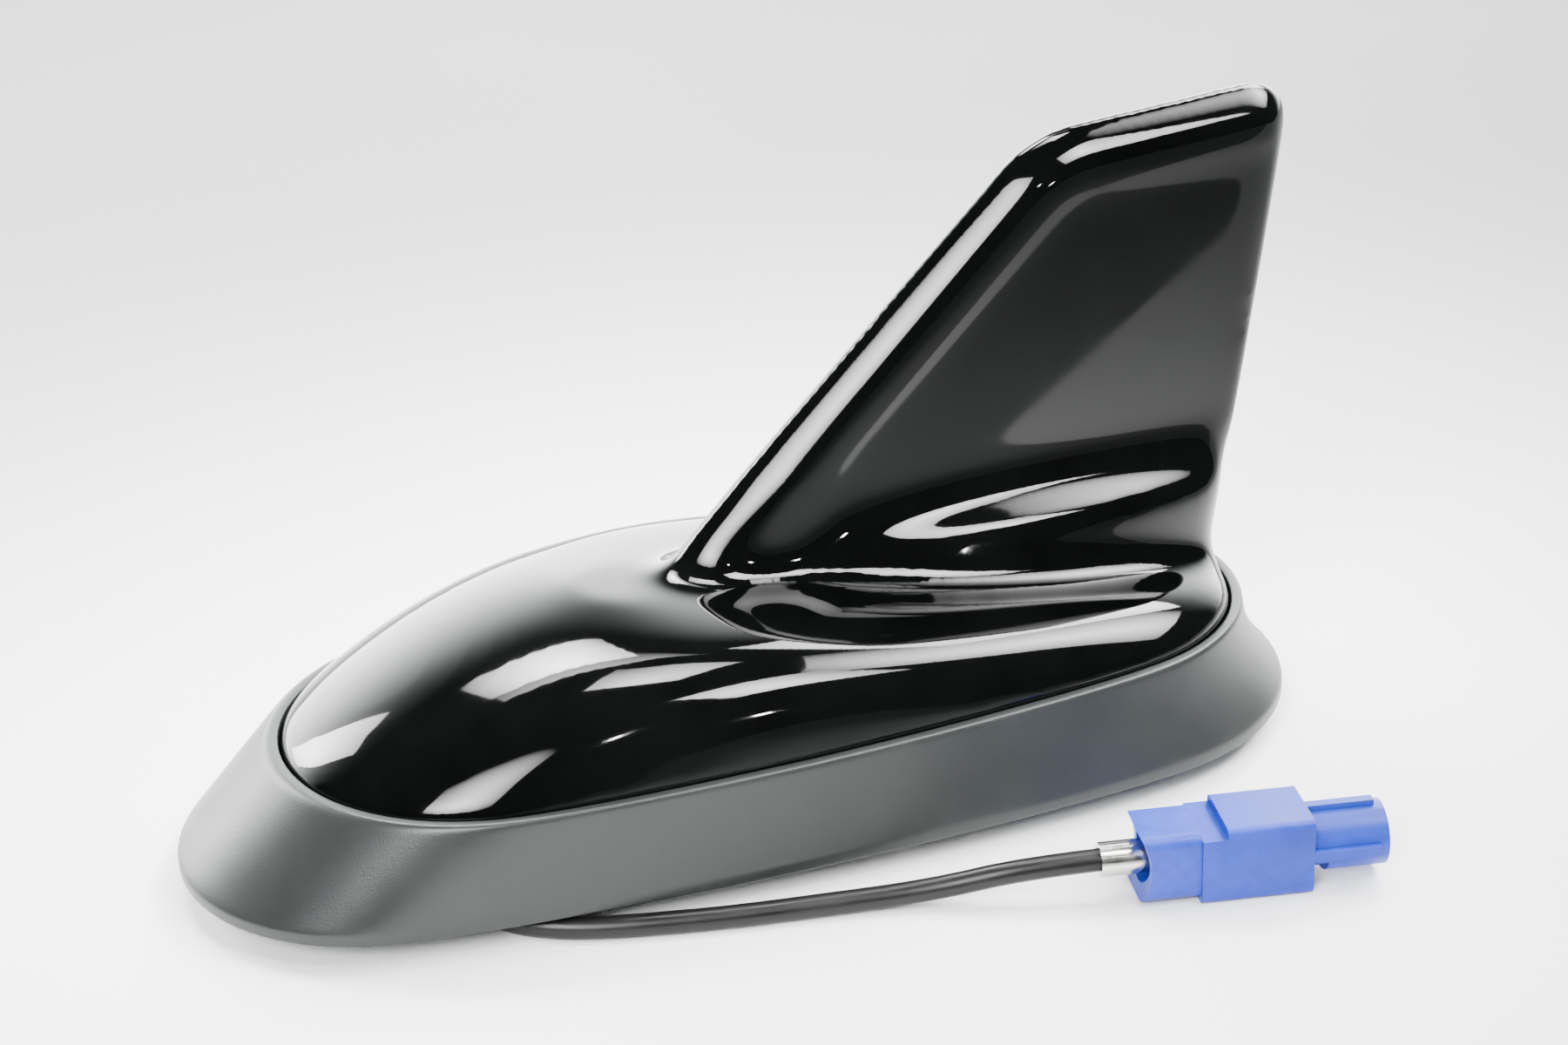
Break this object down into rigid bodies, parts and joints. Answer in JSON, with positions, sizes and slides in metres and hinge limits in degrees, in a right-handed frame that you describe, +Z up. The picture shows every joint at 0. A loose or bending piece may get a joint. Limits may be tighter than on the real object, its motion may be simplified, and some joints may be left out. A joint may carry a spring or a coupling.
{
  "type": "car antenna",
  "caption": "Roof-mounted car antenna: swept gloss fin on a domed housing, soft sealing skirt, threaded base and a short coax lead that ends in a keyed plug.",
  "frame": {"origin": "on the axis of the roof bolt, in the plane of the roof skin under the skirt", "axes": "+X towards the tail of the car along the fin, +Y to the car's right, +Z up from the roof"},
  "size_m": [0.1526, 0.0927, 0.0819],
  "materials": {
    "housing_gloss": "polished black moulding",
    "skirt_rubber": "matte dark grey soft moulding",
    "die_cast": "as cast, satin",
    "seal_rubber": "matte black",
    "seal_foam": "closed-cell foam",
    "screw_steel": "zinc plated",
    "board_laminate": "green solder mask",
    "patch_ceramic": "fired ceramic",
    "pad_tape": "foam tape",
    "contact_brass": "bright",
    "tinned_steel": "tinned",
    "chip_resin": "moulded resin",
    "lead_jacket": "satin black jacket",
    "nickel_plate": "nickel plate",
    "plug_blue": "satin blue moulding",
    "insulator_white": "white insulator"
  },
  "bodies": {
    "root": {"fin_housing": "housing_gloss", "skirt": "skirt_rubber", "base_plate": "die_cast", "housing_gasket": "seal_rubber", "housing_screws": "screw_steel", "roof_seal": "seal_foam", "circuit_board": "board_laminate", "board_screws": "screw_steel", "ceramic_patch": "patch_ceramic", "patch_tape": "pad_tape", "feed_pin": "contact_brass", "shield_can": "tinned_steel", "amplifier_chip": "chip_resin", "band_filter": "chip_resin", "coax_tail": "lead_jacket", "cable_clamp": "tinned_steel", "cable_grommet": "seal_rubber", "coax_lead": "lead_jacket", "crimp_ferrule": "nickel_plate", "plug_body": "plug_blue", "plug_lock": "plug_blue", "outer_contact": "contact_brass", "plug_insulator": "insulator_white", "centre_pin": "contact_brass"}
  },
  "joints": []
}
